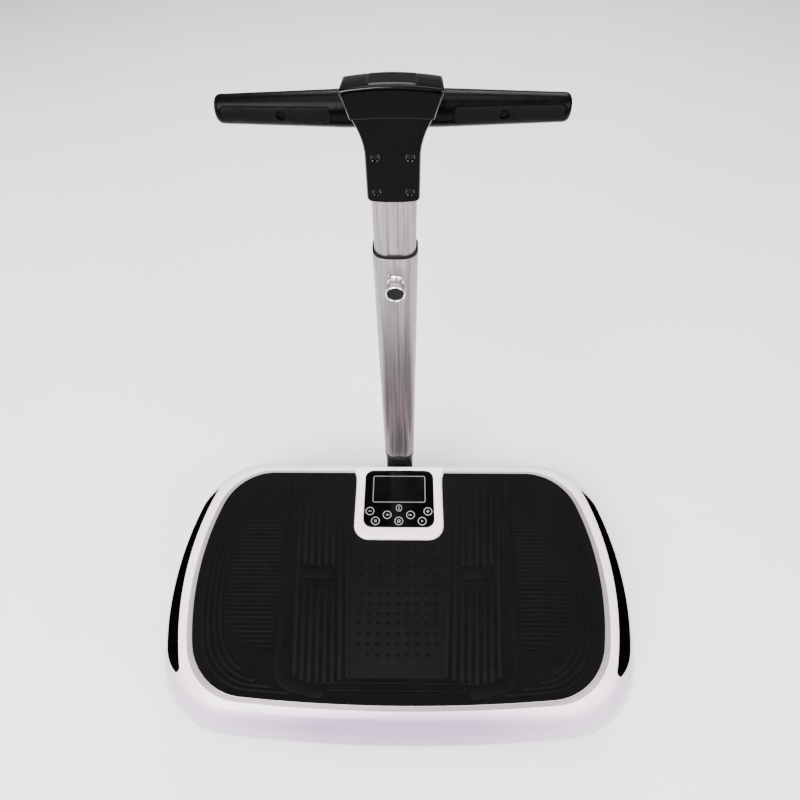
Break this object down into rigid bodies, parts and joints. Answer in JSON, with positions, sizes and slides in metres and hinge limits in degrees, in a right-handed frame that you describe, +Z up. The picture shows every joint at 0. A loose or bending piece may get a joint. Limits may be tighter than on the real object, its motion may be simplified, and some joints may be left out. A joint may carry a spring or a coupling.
{
  "type": "vibration plate",
  "caption": "Whole-body vibration plate: rocking platform with ribbed mat and touch panel, and a telescopic column with clamp knob and T-shaped hand grips.",
  "frame": {"origin": "on the floor, under the middle of the machine's bounding box", "axes": "+Z up along the column, +X to the user's right, the front edge faces -Y and the column stands at +Y"},
  "size_m": [0.685, 0.4216, 0.714],
  "materials": {
    "casing_white": "pearl white gloss moulding",
    "panel_white": "pearl white gloss moulding",
    "mat_rubber": "matt black moulded relief",
    "trim_black": "gloss black moulding",
    "lens_black": "gloss black printed lens",
    "head_black": "gloss black moulding",
    "grip_black": "satin gloss black moulding",
    "inlay_rubber": "textured matt black rubber",
    "column_aluminium": "satin brushed anodised extrusion",
    "black_plastic": "fine-textured black moulding",
    "knob_chrome": "knurled bright chrome",
    "base_plastic": "textured black moulding",
    "foot_rubber": "soft black rubber",
    "zinc_steel": "zinc plated",
    "bearing_steel": "ground bright steel",
    "frame_paint": "black powder coat",
    "deck_steel": "grey powder coat",
    "motor_paint": "grey enamel",
    "cast_metal": "as cast",
    "bronze_bush": "sintered bronze",
    "belt_rubber": "ribbed black belt",
    "pad_rubber": "dense foam rubber",
    "board_green": "solder mask and components",
    "display_glass": "dark display glass",
    "switch_black": "black moulding"
  },
  "bodies": {
    "base": {"base_pan": "base_plastic", "suction_feet": "foot_rubber", "foot_bolts": "zinc_steel", "frame_rails": "frame_paint", "frame_ties": "frame_paint", "drive_plate": "frame_paint", "motor_body": "motor_paint", "motor_cradle": "cast_metal", "crank_blocks": "cast_metal", "crank_bearings": "bearing_steel", "drive_belt": "belt_rubber", "pivot_blocks": "cast_metal", "pivot_bushes": "bronze_bush", "block_bolts": "zinc_steel", "control_board": "board_green", "power_inlet": "black_plastic", "switch_housing": "black_plastic", "column_bracket": "frame_paint", "column_boot": "black_plastic", "outer_tube": "column_aluminium", "column_bolts": "zinc_steel", "guide_bush": "black_plastic", "clamp_boss": "knob_chrome"},
    "deck": {"top_cover": "casing_white", "left_trim": "trim_black", "right_trim": "trim_black", "mat": "mat_rubber", "panel_bezel": "panel_white", "panel_lens": "lens_black", "touch_board": "board_green", "display_module": "display_glass", "panel_screws": "zinc_steel", "deck_plate": "deck_steel", "deck_hangers": "deck_steel", "pivot_shaft": "bearing_steel", "deck_pads": "pad_rubber", "cover_screws": "zinc_steel", "link_brackets": "deck_steel", "link_pins": "bearing_steel"},
    "links": {"front_link": "cast_metal", "rear_link": "cast_metal"},
    "crank": {"crankshaft": "bearing_steel", "crank_pulley": "cast_metal"},
    "motor_rotor": {"motor_shaft": "bearing_steel", "motor_pulley": "bearing_steel"},
    "mast": {"inner_tube": "column_aluminium", "inner_glide": "black_plastic", "head_core": "black_plastic", "handle_bar": "zinc_steel", "head_front_cover": "head_black", "head_rear_cover": "head_black", "neck_screws": "zinc_steel", "left_grip": "grip_black", "left_grip_inlay": "inlay_rubber", "right_grip": "grip_black", "right_grip_inlay": "inlay_rubber", "grip_screws": "zinc_steel"},
    "clamp_stud": {"clamp_pad": "black_plastic"},
    "knob": {"clamp_knob": "knob_chrome"},
    "rocker": {"switch_rocker": "switch_black"}
  },
  "joints": [
    {"name": "deck_rock", "type": "hinge", "parent": "base", "child": "deck", "pos_m": [0, 0, 0.07], "axis": [0, 1, 0], "range_deg": [-1.2, 1.2]},
    {"name": "link_swing", "type": "hinge", "parent": "deck", "child": "links", "pos_m": [0.092, 0, 0.098], "axis": [0, 1, 0], "range_deg": [-1.5, 1.5]},
    {"name": "crank_spin", "type": "hinge", "parent": "base", "child": "crank", "pos_m": [0.092, 0, 0.056], "axis": [0, 1, 0], "continuous": true},
    {"name": "motor_spin", "type": "hinge", "parent": "base", "child": "motor_rotor", "pos_m": [0.196, 0, 0.056], "axis": [0, 1, 0], "continuous": true},
    {"name": "mast_slide", "type": "slide", "parent": "base", "child": "mast", "axis": [0, 0, 1], "range_m": [-0.05, 0.18]},
    {"name": "clamp_travel", "type": "slide", "parent": "base", "child": "clamp_stud", "axis": [0, -1, 0], "range_m": [0, 0.00375]},
    {"name": "knob_turn", "type": "hinge", "parent": "clamp_stud", "child": "knob", "pos_m": [0, 0.155, 0.523], "axis": [0, -1, 0], "range_deg": [0, 1080]},
    {"name": "switch_rock", "type": "hinge", "parent": "base", "child": "rocker", "pos_m": [0.175, 0.17674, 0.038], "axis": [-1, 0, 0], "range_deg": [0, 24]}
  ],
  "couplings": [
    {"joint": "motor_spin", "follows": "crank_spin", "ratio": 2},
    {"joint": "knob_turn", "follows": "clamp_travel", "rad_per_m": 5026.5}
  ]
}
